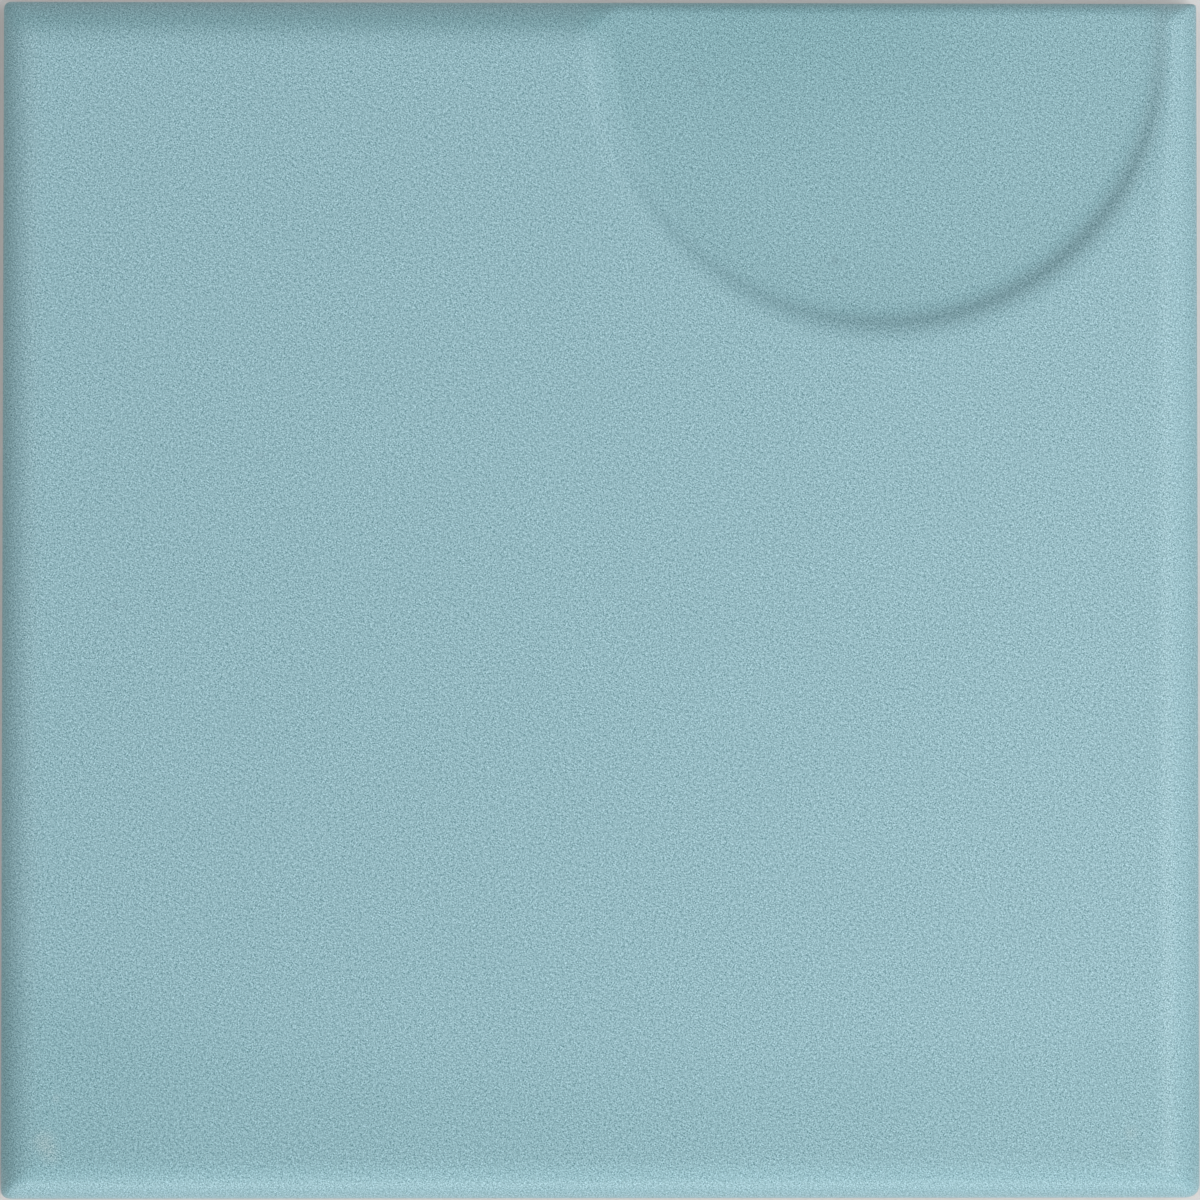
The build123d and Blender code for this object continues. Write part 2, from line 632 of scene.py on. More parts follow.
@dataclass
class GlazedTile:
    """The whole tile as one closed mesh, with a glazed zone and a bare one.

    Args:
        side: side of the square.
        thickness: from the back to the flat of the face.
        edge_round: height of the edge rounds, and their width at the left and the right.
        edge_top: width of the top edge's round.
        edge_mouth: its width from the mouth of the recess to the right corner.
        edge_bottom: width of the bottom edge's round.
        edge_ease: width over which an edge round runs out into the flat.
        steep_from: distance in from the edge at which an edge round counts as wholly steep.
        steep_to: distance at which it no longer does.
        plan_share: how much of an edge's arc the plan of the glaze is let out by.
        corner_lower_left: reach of this corner's soft turn, and so for the other three.
        edge_steps: faces across an edge round.
        ease_steps: fine faces beside it on the flat.
        fine_step: width of a face about the recess.
        coarse_step: width of a face elsewhere.
        mouth_reach: most that the crease between recess and edge is rounded by.
        mouth_share: how fast that rounding grows with the drop of the edge.
        ridge_reach: how much more the ridge at the recess's right is rounded.
        wave_depth: depth of the faint waves of the face.
        wave_rows: turns across, turns up, start and share of each wave.
        back_arris: width of the arris around the back.
        arris_profile: its section, as shares of that width inwards and upwards.
        glaze_edge: the lower edge of the glaze.
        back: the keyed back.
        name: name of the piece.
    """

    side: float
    thickness: float
    edge_round: float = 5.4 * MM
    edge_top: float = 6.0 * MM
    edge_mouth: float = 3.4 * MM
    edge_bottom: float = 5.0 * MM
    edge_ease: float = 0.5 * MM
    steep_from: float = 0.3 * MM
    steep_to: float = 2.4 * MM
    plan_share: float = 0.5
    corner_lower_left: float = 1.4 * MM
    corner_lower_right: float = 2.0 * MM
    corner_upper_left: float = 1.0 * MM
    corner_upper_right: float = 0.8 * MM
    edge_steps: int = 14
    ease_steps: int = 5
    fine_step: float = 0.44 * MM
    coarse_step: float = 0.9 * MM
    mouth_reach: float = 1.3 * MM
    mouth_share: float = 0.95
    ridge_reach: float = 0.9 * MM
    wave_depth: float = 0.03 * MM
    wave_rows: tuple[tuple[float, float, float, float], ...] = (
        (1.3, 0.7, 0.6, 1.0),
        (-0.8, 1.9, 2.2, 1.0),
        (2.9, 2.3, 4.1, 0.5),
        (3.7, -3.1, 1.0, 0.5),
    )
    back_arris: float = 0.5 * MM
    arris_profile: tuple[Span, ...] = (
        (0.0, 1.2),
        (0.1, 0.8),
        (0.8, 0.1),
        (1.0, 0.0),
        (1.4, 0.0),
    )
    glaze_edge: GlazeEdge = field(default_factory=GlazeEdge)
    back: KeyedBack = field(default_factory=KeyedBack)
    name: str = "glazed_tile"

    def __post_init__(self) -> None:
        """Place the recess: its wall touches the tile's middle line and the flat ends at its axis."""
        self.half = self.side / 2.0
        self.flat = self.half - self.edge_round
        self.recess = Recess(Recess.radius, self.flat, edge_y=self.half, face=self.thickness)
        # painted shade on the glaze and the darker recess floor
        self.runs = PaintedShadeAndDarkerRecessFloor(self.half, self.recess, (self.steep_from, self.steep_to))

    def face_lines(self, fine_from: float, low_round: float, high_round: float) -> np.ndarray:
        """Places of the grid lines across the face.

        The lines follow even angles through the two edge rounds, fine steps where these run out
        into the flat and over the part that the recess takes, and coarse steps elsewhere.

        Args:
            fine_from: where the fine steps begin.
            low_round: width of the edge round at the low end.
            high_round: width of the edge round at the high end.

        Returns:
            Rising places from one side of the tile to the other.
        """
        angle = np.linspace(0.0, math.pi / 2.0, self.edge_steps + 1)[:-1]
        share = 1.0 - np.cos(angle)
        flat_low = low_round - self.half
        flat_high = self.half - high_round
        coarse_from = flat_low + self.ease_steps * self.fine_step
        coarse_count = math.ceil((fine_from - coarse_from) / self.coarse_step)
        fine_count = math.ceil((flat_high - fine_from) / self.fine_step)
        eased = np.linspace(flat_low, coarse_from, self.ease_steps, endpoint=False)
        coarse = np.linspace(coarse_from, fine_from, coarse_count, endpoint=False)
        fine = np.linspace(fine_from, flat_high, fine_count + 1)
        low_lines = low_round * share - self.half
        high_lines = (self.half - high_round * share)[::-1]
        return np.concatenate([low_lines, eased, coarse, fine, high_lines])

    def cushion(self, inset: np.ndarray) -> np.ndarray:
        """Height of the face before the recess is sunk, by the distance in from the nearest side.

        It is a quarter circle of the edge's radius, whose start on the flat is eased: the distance
        t short of the flat is taken as w ln(1 + exp(t / w)) with the width w of the ease.

        Args:
            inset: distance in from the nearest side.

        Returns:
            Height above the back.
        """
        short = self.edge_ease * np.logaddexp(0.0, (self.edge_round - inset) / self.edge_ease)
        short = np.minimum(short, self.edge_round)
        return self.thickness - self.edge_round + np.sqrt(self.edge_round ** 2 - short ** 2)

    def unrolled(self, inset: np.ndarray) -> np.ndarray:
        """How far the plan of the glaze is let out over an edge round.

        It is a share of the difference between the arc R asin(t / R) and its run t, with the
        distance t short of the flat.

        Args:
            inset: distance in from the side.

        Returns:
            Lengths, one for each distance.
        """
        short = np.clip(self.edge_round - inset, 0.0, self.edge_round)
        return self.plan_share * (self.edge_round * np.arcsin(short / self.edge_round) - short)

    def face_patch(self) -> tuple[Patch, np.ndarray, np.ndarray]:
        """The glazed face with its edge rounds, recess and faint waves.

        A grid point lies at the lesser of its distances from the two nearest sides, counted in
        widths of those sides' edge rounds, and the edge round lifts it along a quarter circle of
        that distance. The top edge's round is narrower from the mouth of the recess to the right
        corner. Near a diagonal the points are drawn in along it, so that each ring of the edge
        round turns its corner on a soft curve.

        The recess is the rounded minimum of that height and its own, with a rounding that grows
        with the drop of the edge, and more so along the ridge at its right.

        Returns:
            The patch, the indexes of its rim anticlockwise from the lower left, and the rim's
            places around the tile in sides.
        """
        margin = 2.0 * self.edge_round
        fine_x = self.recess.axis_x - self.recess.lip_radius - margin
        fine_y = self.recess.axis_y - self.recess.lip_radius - margin
        lines_x = self.face_lines(fine_x, self.edge_round, self.edge_round)
        lines_y = self.face_lines(fine_y, self.edge_bottom, self.edge_top)
        grid_x, grid_y = np.meshgrid(lines_x, lines_y, indexing="ij")
        mouth = self.recess.floor_share(grid_x, np.full_like(grid_x, self.recess.axis_y))
        mouth = np.where(grid_x > self.recess.axis_x, 1.0, mouth)
        top_width = self.edge_top + (self.edge_mouth - self.edge_top) * mouth
        stretch_y = np.where(grid_y > 0.0, top_width, self.edge_bottom) / self.edge_round
        inset_x = self.half - np.abs(grid_x)
        inset_y = (self.half - np.abs(grid_y)) / stretch_y
        inset = np.minimum(inset_x, inset_y)
        upper = np.where(grid_x > 0.0, self.corner_upper_right, self.corner_upper_left)
        lower = np.where(grid_x > 0.0, self.corner_lower_right, self.corner_lower_left)
        corner = np.where(grid_y > 0.0, upper, lower)
        near = np.clip(corner - np.abs(inset_x - inset_y), 0.0, None)
        drawn = near ** 2 / (4.0 * corner)
        drawn = drawn * (1.0 - smooth_step(inset, self.edge_round, margin))
        x = grid_x - np.sign(grid_x) * drawn
        y = grid_y - np.sign(grid_y) * drawn * stretch_y

        cushion = self.cushion(inset)
        ridge = smooth_step(x, self.flat - self.edge_round, self.flat) * self.recess.inside(x, y)
        drop = self.mouth_share * (self.thickness - cushion) + self.ridge_reach * ridge
        reach = np.minimum(self.mouth_reach, drop)
        z = rounded_minimum(cushion, self.recess.height(x, y), reach)
        z = z - self.face_waves(x, y) * smooth_step(inset, self.edge_round, self.edge_round + margin)

        # the glaze mirrors less on the steep parts of the edges but not on the lit bottom edge: painted
        # shade in its reflection
        lit = smooth_step(-y, self.half - self.edge_bottom, self.half - self.steep_to)
        steep = (1.0 - smooth_step(inset, self.steep_from, self.steep_to)) * (1.0 - lit)
        plan_x = x + np.sign(x) * self.unrolled(inset_x)
        plan_y = y + np.sign(y) * self.unrolled(inset_y)
        # the fourth column is the share of painted shade and darker recess floor
        points = np.stack([x, y, z, self.runs.depth(x, y), steep, plan_x, plan_y], axis=-1)
        rows, columns = x.shape
        points = points.reshape(-1, len(Column))
        patch = Patch(points, grid_quads(rows, columns), np.empty((0, 3), int), Zone.GLAZE)
        index = np.arange(rows * columns).reshape(rows, columns)
        rim = np.concatenate([index[:-1, 0], index[-1, :-1], index[:0:-1, -1], index[0, :0:-1]])
        share_x = (lines_x + self.half) / self.side
        share_y = (lines_y + self.half) / self.side
        back_x = SQUARE_SIDES - 1.0 - share_x[:0:-1]
        back_y = SQUARE_SIDES - share_y[:0:-1]
        places = np.concatenate([share_x[:-1], 1.0 + share_y[:-1], back_x, back_y])
        return patch, rim, places

    def face_waves(self, x: np.ndarray, y: np.ndarray) -> np.ndarray:
        """How far the fired face sinks below a true plane, which it never rises above.

        It is a sum of long slanting waves, each with its turns across and up the tile, its start
        and its share.

        Args:
            x: place across the tile.
            y: place up the tile.

        Returns:
            Depths, one for each place.
        """
        turns = 2.0 * math.pi / self.side
        sag = np.full_like(x, 0.5)
        whole = 2.0 * sum(share for *_, share in self.wave_rows)
        for across, up, start, share in self.wave_rows:
            sag = sag + share / whole * np.sin(turns * (across * x + up * y) + start)
        return self.wave_depth * sag

    def side_patches(self, rim: np.ndarray, places: np.ndarray) -> list[Patch]:
        """The sides, as rings let down from the rim of the face.

        Each ring is the rim drawn in evenly towards the middle by a set amount and placed at a set
        height, or at a set distance from the wavy edge of the glaze. The plan of the glaze goes on
        outwards along the rim's normal, as far as the ring lies below the edge round.

        Args:
            rim: points of the rim, anticlockwise.
            places: their places around the tile, in sides.

        Returns:
            The glazed sides and the bare sides with the arris of the back.
        """
        along = np.roll(rim[:, :2], -1, axis=0) - np.roll(rim[:, :2], 1, axis=0)
        outward = np.stack([along[:, 1], -along[:, 0]], axis=-1)
        outward = outward / np.linalg.norm(outward, axis=-1, keepdims=True)
        edge = self.glaze_edge
        line = edge.line(places)
        level = np.ones_like(line)
        round_end = self.thickness - self.edge_round
        glazed = [(0.0, level * round_end), (0.0, (round_end + line) / 2.0)]
        glazed += [(edge.step * share, line + edge.bead * rise) for share, rise in edge.profile]
        bare = [(edge.step, line)]
        for share, rise in self.arris_profile:
            bare.append((edge.step + self.back_arris * share, level * self.back_arris * rise))
        patches = []
        for zone, sections in ((Zone.GLAZE, glazed), (Zone.BISCUIT, bare)):
            rings = []
            for depth, height in sections:
                drawn_in = rim[:, :2] * (1.0 - depth / self.half)
                plan = rim[:, Column.PLAN_X:] + outward * (round_end - height)[:, None]
                rings.append(np.column_stack([drawn_in, height, level * 0.0, level, plan]))
            quads = ring_quads(len(rings), len(rim))
            patches.append(Patch(np.concatenate(rings), quads, np.empty((0, 3), int), zone))
        return patches

    def back_patches(self, border: np.ndarray, places: np.ndarray) -> list[Patch]:
        """The keyed back: the grid of pockets and the border that joins it to the sides.

        Args:
            border: points of the last ring of the sides.
            places: their places around the tile, in sides.

        Returns:
            The pockets and the border strip.
        """
        cell = self.back.cell(self.side)
        rings, count = cell.shape[:2]
        pitch = self.back.pitch(self.side)
        block = pitch * self.back.rows / 2.0
        middles = pitch * (np.arange(self.back.rows) + 0.5) - block
        shift = np.stack(np.meshgrid(middles, middles, indexing="ij"), axis=-1).reshape(-1, 1, 2)
        flat_cell = cell.reshape(1, -1, 3)
        points = np.repeat(flat_cell, len(shift), axis=0)
        points[..., :2] += shift
        points = np.concatenate([points, np.zeros((*points.shape[:2], len(Column) - 3))], axis=-1)
        offsets = np.arange(len(shift)) * rings * count
        quads = (ring_quads(rings, count)[None] + offsets[:, None, None]).reshape(-1, 4)
        pockets = Patch(points.reshape(-1, len(Column)), quads, np.empty((0, 3), int), Zone.BISCUIT)

        steps = (middles[:, None] + self.back.side_places()[None, :-1] * pitch / 2.0).ravel()
        edge = np.full_like(steps, block)
        ring_x = np.concatenate([steps, edge, -steps, -edge])
        ring_y = np.concatenate([-edge, steps, edge, -steps])
        inner = np.column_stack([ring_x, ring_y, np.zeros((len(ring_x), len(Column) - 2))])
        share = (steps + block) / (2.0 * block)
        inner_places = np.concatenate([share, 1.0 + share, 2.0 + share, 3.0 + share])
        strip = Patch(
            np.concatenate([border, inner]),
            np.empty((0, 4), int),
            zip_triangles(places, inner_places),
            Zone.BISCUIT,
        )
        return [pockets, strip]

    def build(self) -> bpy.types.Object:
        """Join the patches into one closed mesh and give it to the scene.

        Returns:
            The new object, at the origin.
        """
        face, rim_index, places = self.face_patch()
        sides = self.side_patches(face.points[rim_index], places)
        border = sides[-1].points[-len(rim_index):]
        patches = [face, *sides, *self.back_patches(border, places)]
        return self.weld(patches)

    def weld(self, patches: list[Patch]) -> bpy.types.Object:
        """Merge the points that patches share and write the mesh.

        Points that fall in the same cell of a very fine grid become one, and faces keep only
        their distinct corners, so that a pole's quads become triangles.

        Args:
            patches: stretches of surface whose borders match.

        Returns:
            The new object.
        """
        starts = np.cumsum([0] + [len(patch.points) for patch in patches])
        points = np.concatenate([patch.points for patch in patches])
        cells = np.round(points[:, :3] / WELD_GRID).astype(np.int64)
        _, first, merged = np.unique(cells, axis=0, return_index=True, return_inverse=True)
        merged = merged.ravel()
        faces: list[list[int]] = []
        zones: list[int] = []
        for start, patch in zip(starts, patches):
            quads = merged[patch.quads + start]
            pole = quads[:, 1] == quads[:, 2]
            whole = quads[~pole].tolist()
            capped = quads[pole][:, [0, 1, 3]].tolist()
            triangles = merged[patch.triangles + start].tolist()
            faces += whole + capped + triangles
            zones += [int(patch.zone)] * (len(whole) + len(capped) + len(triangles))
        mesh = bpy.data.meshes.new(self.name)
        mesh.from_pydata(points[first, :3].tolist(), [], faces)
        mesh.polygons.foreach_set("material_index", zones)
        mesh.polygons.foreach_set("use_smooth", np.ones(len(faces), bool))
        shares = ((Column.DARKENING, Attribute.SHADE_AND_FLOOR_DARKENING), (Column.STEEP, Attribute.STEEP_EDGE))
        for column, attribute in shares:
            share = mesh.attributes.new(attribute.value, "FLOAT", "POINT")
            share.data.foreach_set("value", points[first, column].astype(np.float32))
        plan_points = np.zeros((len(first), 3), np.float32)
        plan_points[:, :2] = points[first, Column.PLAN_X:]
        plan = mesh.attributes.new(Attribute.GLAZE_PLAN.value, "FLOAT_VECTOR", "POINT")
        plan.data.foreach_set("vector", plan_points.ravel())
        mesh.update()
        tile = bpy.data.objects.new(self.name, mesh)
        bpy.context.scene.collection.objects.link(tile)
        return tile

    def dress(self, tile: bpy.types.Object, glaze: SatinGlaze, biscuit: BareBiscuit) -> None:
        """Give the tile its two finishes, in the order of the zones.

        Args:
            tile: the tile's object.
            glaze: finish of the face and the upper sides.
            biscuit: finish of the lower sides and the back.
        """
        tile.data.materials.append(glaze.material())
        tile.data.materials.append(biscuit.material())


class NodeBoard:
    """A short way to place and join the nodes of one material or group."""

    def __init__(self, tree: bpy.types.NodeTree) -> None:
        """Start with an empty tree."""
        self.tree = tree
        self.tree.nodes.clear()

    def add(self, kind: str, **settings: object) -> bpy.types.Node:
        """Place a node and set its properties.

        Args:
            kind: Blender's name of the node type.
            settings: properties of the node by name.

        Returns:
            The new node.
        """
        node = self.tree.nodes.new(kind)
        for key, value in settings.items():
            setattr(node, key, value)
        return node

    def join(self, source: Socket, target: Socket) -> None:
        """Link an output to an input."""
        self.tree.links.new(source, target)

    def feed(self, source: Feed, target: Socket) -> None:
        """Give an input what it works on.

        Args:
            source: an output to link it to, or a plain value or colour to set on it.
            target: the input.
        """
        if isinstance(source, bpy.types.NodeSocket):
            self.join(source, target)
        elif isinstance(source, tuple):
            target.default_value = (*source, 1.0)
        else:
            target.default_value = source

    def spread(self, source: Socket, given: Span = (0.0, 1.0), wanted: Span = (0.0, 1.0)) -> Socket:
        """Spread a value from one range over another, and hold it at the ends.

        Args:
            source: the value.
            given: the range that it comes in.
            wanted: the range that it goes out in.

        Returns:
            The spread value.
        """
        node = self.add("ShaderNodeMapRange")
        for name, value in zip(("From Min", "From Max", "To Min", "To Max"), (*given, *wanted)):
            node.inputs[name].default_value = value
        self.join(source, node.inputs["Value"])
        return node.outputs["Result"]

    def mix(self, factor: Feed, first: Feed, second: Feed, kind: str = "RGBA", blend: str = "MIX") -> Socket:
        """Mix two colours or two values.

        Args:
            factor: share of the second.
            first: what is there at 0.
            second: what is there at 1.
            kind: Blender's name of what is mixed.
            blend: Blender's name of the way in which colours are mixed.

        Returns:
            The mixture.
        """
        node = self.add("ShaderNodeMix", data_type=kind, blend_type=blend)
        for name, source in (("Factor", factor), ("A", first), ("B", second)):
            self.feed(source, node.inputs[name])
        return node.outputs["Result"]


class SharedEffect:
    """An effect that several nodes share, as a node group that is built when it is first asked for."""

    NAME: str
    VECTORS: tuple[GroupSocket, ...]
    VALUES: tuple[GroupSocket, ...]
    RESULTS: tuple[GroupSocket, ...]

    @classmethod
    def group(cls) -> bpy.types.NodeTree:
        """Find the group, or build it with its sockets and nodes.

        Returns:
            The group.
        """
        known = bpy.data.node_groups.get(cls.NAME)
        if known is not None:
            return known
        tree = bpy.data.node_groups.new(cls.NAME, "ShaderNodeTree")
        sockets = (
            (cls.VECTORS, "INPUT", "NodeSocketVector"),
            (cls.VALUES, "INPUT", "NodeSocketFloat"),
            (cls.RESULTS, "OUTPUT", "NodeSocketFloat"),
        )
        for names, way, kind in sockets:
            for name in names:
                tree.interface.new_socket(name.value, in_out=way, socket_type=kind)
        board = NodeBoard(tree)
        start = board.add("NodeGroupInput")
        end = board.add("NodeGroupOutput")
        given = {name: start.outputs[name.value] for name in cls.VECTORS + cls.VALUES}
        for name, result in zip(cls.RESULTS, cls.results(board, given)):
            board.join(result, end.inputs[name.value])
        return tree

    @classmethod
    def results(cls, board: NodeBoard, given: dict[GroupSocket, Socket]) -> tuple[Socket, ...]:
        """Place the effect's nodes, which each effect does in its own way."""
        raise NotImplementedError


class FiredGrain(SharedEffect):
    """The fine speckle and soft mottling of fired surfaces, which both finishes use."""

    NAME = "fired_grain"
    VECTORS = (GroupSocket.VECTOR,)
    VALUES = (GroupSocket.GRAIN_SIZE, GroupSocket.RELIEF_SIZE, GroupSocket.MOTTLE_SIZE)
    RESULTS = (GroupSocket.GRAIN, GroupSocket.RELIEF, GroupSocket.MOTTLE)
    DETAILS = (0.0, 1.0, 2.0)
    RELIEF_SHARE = 0.3
    TURN = math.radians(31.0)

    @classmethod
    def results(cls, board: NodeBoard, given: dict[GroupSocket, Socket]) -> tuple[Socket, ...]:
        """Place a noise for each size, on axes that are turned away from the tile's sides.

        The relief and the mottling are soft noises of their own sizes. The speckle is a noise of
        the grain's size with a share of the relief. All three run from 0 to 1 about 0.5.

        Args:
            board: where the nodes go.
            given: the group's inputs.

        Returns:
            The speckle, the relief and the mottling.
        """
        turned = board.add("ShaderNodeVectorRotate", rotation_type="Z_AXIS")
        turned.inputs["Angle"].default_value = cls.TURN
        board.join(given[GroupSocket.VECTOR], turned.inputs["Vector"])
        noises = []
        for size, detail in zip(cls.VALUES, cls.DETAILS):
            per_metre = board.add("ShaderNodeMath", operation="DIVIDE")
            per_metre.inputs[0].default_value = 1.0
            board.join(given[size], per_metre.inputs[1])
            noise = board.add("ShaderNodeTexNoise")
            noise.inputs["Detail"].default_value = detail
            board.join(turned.outputs["Vector"], noise.inputs["Vector"])
            board.join(per_metre.outputs[0], noise.inputs["Scale"])
            noises.append(noise.outputs["Fac"])
        grain, relief, mottle = noises
        return board.mix(cls.RELIEF_SHARE, grain, relief, kind="FLOAT"), relief, mottle


class FleckMask(SharedEffect):
    """A soft ragged spot about a point, which all the flecks use."""

    NAME = "fleck_mask"
    VECTORS = (GroupSocket.VECTOR, GroupSocket.CENTRE)
    VALUES = (GroupSocket.REACH, GroupSocket.STRENGTH, GroupSocket.GRAIN)
    RESULTS = (GroupSocket.MASK,)
    RAGGED = (0.2, 1.8)

    @classmethod
    def results(cls, board: NodeBoard, given: dict[GroupSocket, Socket]) -> tuple[Socket, ...]:
        """Place the fall from the strength at the centre to 0 at the reach, broken up by the grain.

        Args:
            board: where the nodes go.
            given: the group's inputs.

        Returns:
            The mask.
        """
        away = board.add("ShaderNodeVectorMath", operation="DISTANCE")
        board.join(given[GroupSocket.VECTOR], away.inputs[0])
        board.join(given[GroupSocket.CENTRE], away.inputs[1])
        fall = board.add("ShaderNodeMapRange", interpolation_type="SMOOTHSTEP")
        fall.inputs["To Min"].default_value = 1.0
        fall.inputs["To Max"].default_value = 0.0
        board.join(away.outputs["Value"], fall.inputs["Value"])
        board.join(given[GroupSocket.REACH], fall.inputs["From Max"])
        mask = fall.outputs["Result"]
        ragged = board.spread(given[GroupSocket.GRAIN], wanted=cls.RAGGED)
        for share in (ragged, given[GroupSocket.STRENGTH]):
            product = board.add("ShaderNodeMath", operation="MULTIPLY")
            board.join(mask, product.inputs[0])
            board.join(share, product.inputs[1])
            mask = product.outputs[0]
        return (mask,)


class FleckTint(Enum):
    """Colours of the small marks in the glaze."""

    CREAM = (0.62, 0.56, 0.48)
    CHALK = (0.60, 0.62, 0.60)
    RUST = (0.50, 0.42, 0.30)
    MOSS = (0.10, 0.20, 0.18)
    INK = (0.08, 0.15, 0.18)
    SLATE = (0.10, 0.18, 0.22)


@dataclass(frozen=True)
class Fleck:
    """A small mark in the glaze.

    Args:
        centre: its middle, in the tile's frame.
        reach: distance at which it has faded out.
        tint: what it colours the glaze with.
        strength: share of that colour at its middle.
    """

    centre: tuple[float, float, float]
    reach: float
    tint: FleckTint
    strength: float


@dataclass(frozen=True)
class FiredFinish:
    """What the glaze and the bare body share: a grained, mottled surface.

    Args:
        name: name of the material.
        colour: colour of the plain surface.
        grain_size: length of a wave of the speckle.
        grain_contrast: how far the speckle goes up and down, for each channel.
        relief_size: length of a wave of the fine bump.
        mottle_size: length of a wave of the mottling.
        mottle_contrast: how far the mottling goes up and down, for each channel.
        roughness: the range that the relief stirs it over.
        bump: height of the fine bump.
        specular: how strongly the surface mirrors, where 0.5 is usual.
        usual: the range that the speckle and the mottling keep within.
    """

    name: str
    colour: Colour
    grain_size: float
    grain_contrast: Colour
    relief_size: float
    mottle_size: float
    mottle_contrast: Colour
    roughness: Span
    bump: float
    specular: float = 0.5
    usual: Span = (0.25, 0.75)

    def tint(self, board: NodeBoard, place: Socket, speckle: Socket) -> Socket:
        """Colour of the surface before grain and mottling.

        Args:
            board: where the nodes go.
            place: object coordinates, which this plain colour does not use.
            speckle: the grain, which it does not use either.

        Returns:
            The colour.
        """
        plain = board.add("ShaderNodeRGB")
        plain.outputs[0].default_value = (*self.colour, 1.0)
        return plain.outputs[0]

    def grain_place(self, board: NodeBoard, place: Socket) -> Socket:
        """Coordinates that the grain is taken on: the object's own."""
        return place

    def shine(self, board: NodeBoard, target: Socket) -> None:
        """Set how strongly the surface mirrors."""
        target.default_value = self.specular

    def material(self) -> bpy.types.Material:
        """Build the material.

        The colour is multiplied by the grain and the mottling, each between one less and one plus
        its contrast in each channel, and the relief stirs the roughness and raises a fine bump.

        Returns:
            The material.
        """
        material = bpy.data.materials.new(self.name)
        material.use_nodes = True
        board = NodeBoard(material.node_tree)
        place = board.add("ShaderNodeTexCoord")
        grain = board.add("ShaderNodeGroup", node_tree=FiredGrain.group())
        grain.inputs[GroupSocket.GRAIN_SIZE.value].default_value = self.grain_size
        grain.inputs[GroupSocket.RELIEF_SIZE.value].default_value = self.relief_size
        grain.inputs[GroupSocket.MOTTLE_SIZE.value].default_value = self.mottle_size
        board.join(self.grain_place(board, place.outputs["Object"]), grain.inputs[GroupSocket.VECTOR.value])
        speckle = grain.outputs[GroupSocket.GRAIN.value]
        relief = grain.outputs[GroupSocket.RELIEF.value]
        mottle = grain.outputs[GroupSocket.MOTTLE.value]

        colour = self.tint(board, place.outputs["Object"], speckle)
        for source, contrast in ((speckle, self.grain_contrast), (mottle, self.mottle_contrast)):
            dark = tuple(1.0 - share for share in contrast)
            pale = tuple(1.0 + share for share in contrast)
            tone = board.mix(board.spread(source, given=self.usual), dark, pale)
            colour = board.mix(1.0, colour, tone, blend="MULTIPLY")

        bump = board.add("ShaderNodeBump")
        bump.inputs["Strength"].default_value = 1.0
        bump.inputs["Distance"].default_value = self.bump
        board.join(relief, bump.inputs["Height"])

        surface = board.add("ShaderNodeBsdfPrincipled")
        self.shine(board, surface.inputs["Specular IOR Level"])
        board.join(colour, surface.inputs["Base Color"])
        board.join(board.spread(relief, wanted=self.roughness), surface.inputs["Roughness"])
        board.join(bump.outputs["Normal"], surface.inputs["Normal"])
        output = board.add("ShaderNodeOutputMaterial")
        board.join(surface.outputs["BSDF"], output.inputs["Surface"])
        return material


